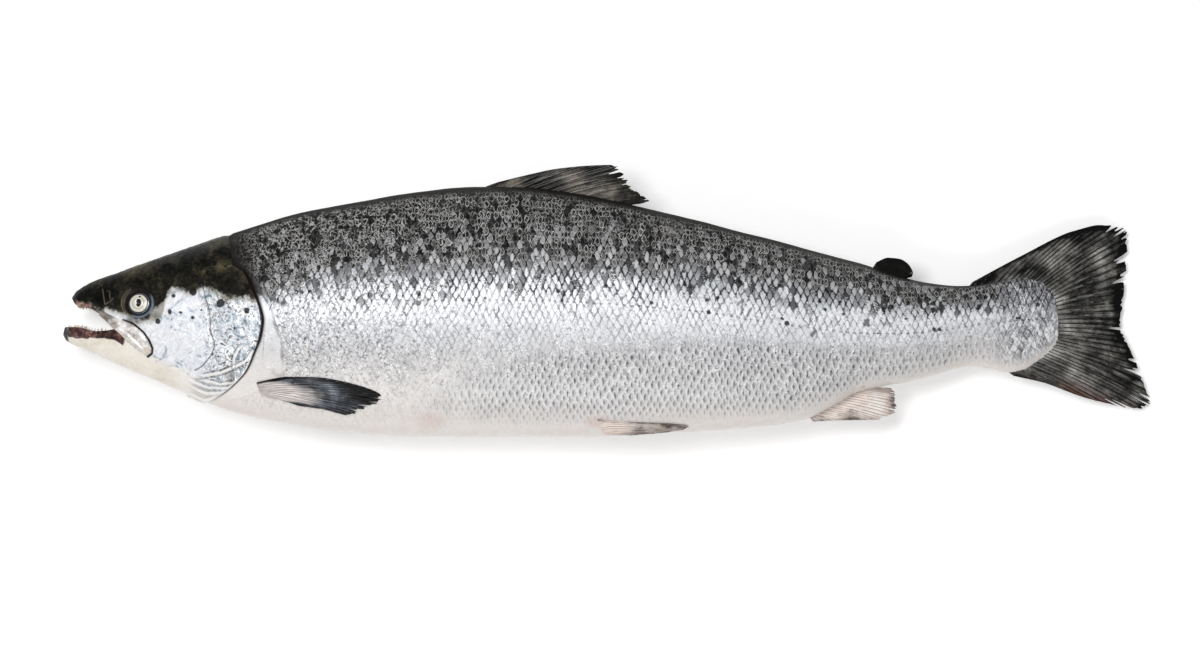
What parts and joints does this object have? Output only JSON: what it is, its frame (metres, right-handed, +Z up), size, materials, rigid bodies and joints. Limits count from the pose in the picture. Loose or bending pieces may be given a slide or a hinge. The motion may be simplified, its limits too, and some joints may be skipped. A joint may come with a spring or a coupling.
{
  "type": "whole raw salmon",
  "caption": "Whole raw salmon lying on its side, left side up, with its mouth open, its fins folded or spread and a forked tail.",
  "frame": {"origin": "on the floor, under the middle of the fish's box", "axes": "+X from the head to the tail, +Y from the belly to the back, +Z up, out of the fish's left side"},
  "size_m": [0.7644, 0.1904, 0.0892],
  "materials": {
    "silver_skin": "wet scaled skin, dark on the back, silver on the side, cream on the belly",
    "head_plate": "wet silver skin over bone, with black spots",
    "dark_fin": "wet dark fin with paler rays",
    "pale_fin": "wet pale fin with grey streaks",
    "eye": "clear wet eye with a pale yellow iris and a black pupil"
  },
  "bodies": {
    "root": {"body": "silver_skin", "gill_cover_left": "head_plate", "gill_cover_right": "head_plate", "upper_lip_left": "head_plate", "upper_lip_right": "head_plate", "eye_left": "eye", "eye_right": "eye", "dorsal_fin": "dark_fin", "adipose_fin": "dark_fin", "caudal_fin": "dark_fin", "anal_fin": "pale_fin", "pectoral_fin_left": "dark_fin", "pectoral_fin_right": "dark_fin", "pelvic_fin_left": "pale_fin", "pelvic_fin_right": "pale_fin"}
  },
  "joints": []
}
